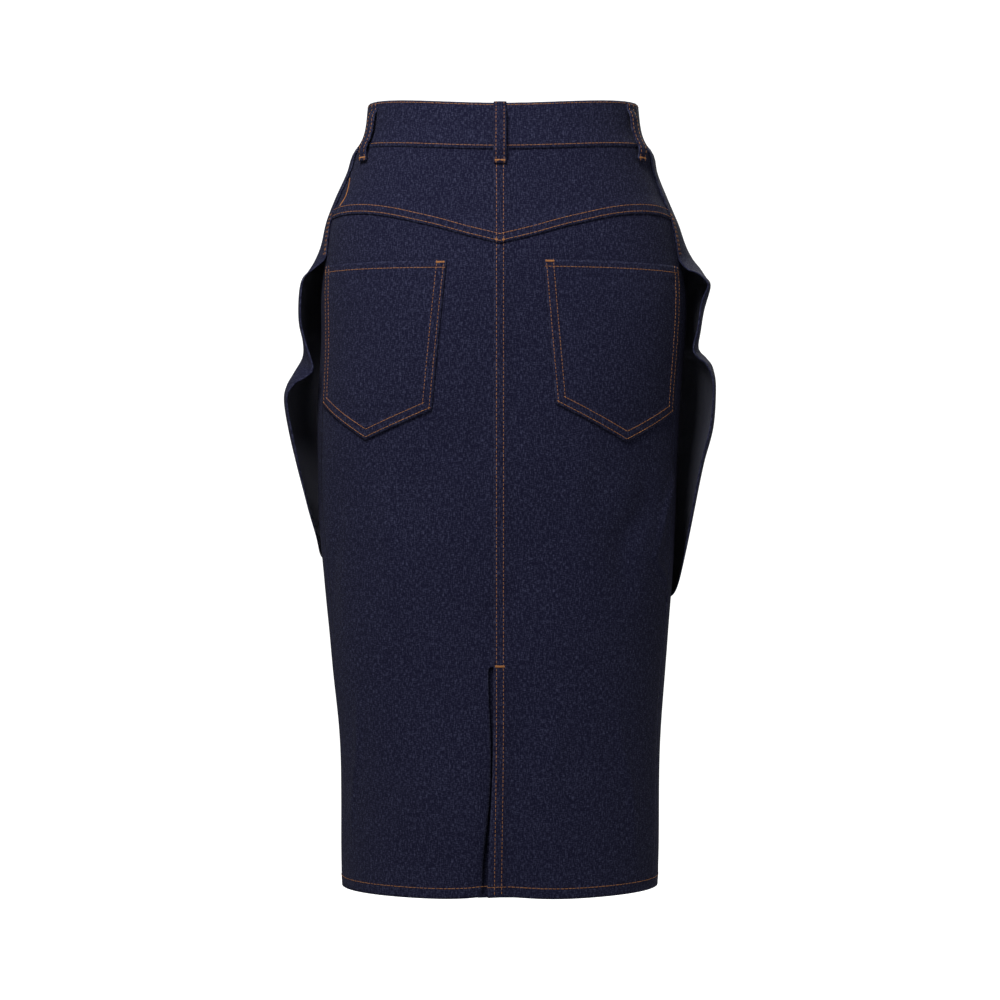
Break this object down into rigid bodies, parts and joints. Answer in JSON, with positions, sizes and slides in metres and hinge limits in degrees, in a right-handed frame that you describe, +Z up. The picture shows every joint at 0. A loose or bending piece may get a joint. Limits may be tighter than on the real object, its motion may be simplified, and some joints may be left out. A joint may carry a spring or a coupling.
{
  "type": "denim skirt",
  "caption": "Knee-length dark denim pencil skirt in its worn, hollow form, with a back yoke, pointed patch pockets, belt loops, a back vent and a cascading drape at each hip.",
  "frame": {"origin": "middle of the waist opening, half-way up the waistband at the centre back", "axes": "+Z up the wearer, +Y to the wearer's front, +X to the wearer's right; the skirt's back faces -Y"},
  "size_m": [0.4137, 0.2222, 0.746],
  "materials": {
    "denim": "dark raw indigo twill, dry and matt, slightly slubby",
    "band_denim": "dark raw indigo twill, two layers, topstitched",
    "patch_denim": "dark raw indigo twill, topstitched in copper-orange thread",
    "drape_denim": "dark raw indigo twill, draped, paler on its inner face",
    "zip_tape": "woven navy tape with metal teeth",
    "copper": "antiqued copper-coloured metal"
  },
  "bodies": {
    "root": {"back_panel_left": "denim", "back_panel_right": "denim", "back_pocket_left": "patch_denim", "back_pocket_right": "patch_denim", "back_yoke_left": "patch_denim", "back_yoke_right": "patch_denim", "belt_loop_back": "band_denim", "belt_loop_front_left": "band_denim", "belt_loop_front_right": "band_denim", "belt_loop_side_left": "band_denim", "belt_loop_side_right": "band_denim", "fly_zip": "zip_tape", "front_panel_left": "denim", "front_panel_right": "denim", "hip_drape_left": "drape_denim", "hip_drape_right": "drape_denim", "vent_underlap": "denim", "waist_button": "copper", "waistband": "band_denim", "zip_slider": "copper"}
  },
  "joints": []
}
